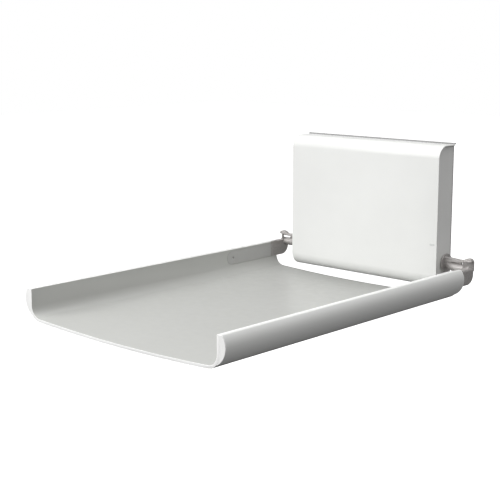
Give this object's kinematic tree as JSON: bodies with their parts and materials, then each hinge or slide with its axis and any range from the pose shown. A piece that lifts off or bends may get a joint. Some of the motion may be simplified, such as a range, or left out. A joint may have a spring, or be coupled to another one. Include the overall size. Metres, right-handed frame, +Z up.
{
  "type": "changing table",
  "caption": "Wall-mounted folding changing table: dished tray with raised side rails on two hinge arms beside a slim wall unit that holds its shaft, springs and damper.",
  "frame": {"origin": "centre of the four wall-mounting holes, in the plane of the wall", "axes": "+Z up, -Y away from the wall towards the tray's front end, +X to the right seen from the front"},
  "size_m": [0.56, 0.805, 0.3372],
  "materials": {
    "cover_white": "smooth white powder coat",
    "tray_white": "satin white high-pressure laminate",
    "rail_white": "satin white",
    "inlay_grey": "satin pale grey",
    "cheek_grey": "satin grey powder coat",
    "plate_steel": "grey primer",
    "arm_steel": "brushed stainless",
    "badge_grey": "blank, satin",
    "rubber_black": "moulded",
    "bush_polymer": "self-lubricating polymer",
    "damper_alloy": "die cast",
    "spring_steel": "oiled spring steel",
    "bright_steel": "turned",
    "zinc_steel": "zinc plated"
  },
  "bodies": {
    "wall_unit": {"bearing_screws": "bright_steel", "blank_badge": "badge_grey", "cover_screws": "bright_steel", "damper_body": "damper_alloy", "front_cover": "cover_white", "left_bearing_block": "zinc_steel", "left_buffer": "rubber_black", "left_bush": "bush_polymer", "left_cheek": "cheek_grey", "left_damper_cap": "damper_alloy", "left_spring_anchor": "zinc_steel", "left_stop_block": "zinc_steel", "left_torsion_spring": "spring_steel", "left_upper_stop": "zinc_steel", "plate_screws": "bright_steel", "right_bearing_block": "zinc_steel", "right_buffer": "rubber_black", "right_bush": "bush_polymer", "right_cheek": "cheek_grey", "right_damper_cap": "damper_alloy", "right_spring_anchor": "zinc_steel", "right_stop_block": "zinc_steel", "right_torsion_spring": "spring_steel", "right_upper_stop": "zinc_steel", "wall_plate": "plate_steel"},
    "tray": {"tray_sheet": "tray_white", "left_rail": "rail_white", "right_rail": "rail_white", "left_rail_front_cap": "rail_white", "right_rail_front_cap": "rail_white", "left_rail_rear_cap": "rail_white", "right_rail_rear_cap": "rail_white", "left_tang_inlay": "inlay_grey", "right_tang_inlay": "inlay_grey", "inlay_screws": "bright_steel", "tang_screws": "bright_steel", "left_hinge_arm": "arm_steel", "right_hinge_arm": "arm_steel", "arm_pins": "bright_steel", "cross_shaft": "bright_steel", "retaining_rings": "bright_steel", "left_stop_lever": "zinc_steel", "right_stop_lever": "zinc_steel", "left_spring_collar": "zinc_steel", "right_spring_collar": "zinc_steel", "damper_rotor": "bright_steel", "grub_screws": "bright_steel"}
  },
  "joints": [
    {"name": "tray_fold", "type": "hinge", "parent": "wall_unit", "child": "tray", "pos_m": [0, -0.022, -0.1295], "axis": [-1, 0, 0], "range_deg": [0, 90]}
  ]
}
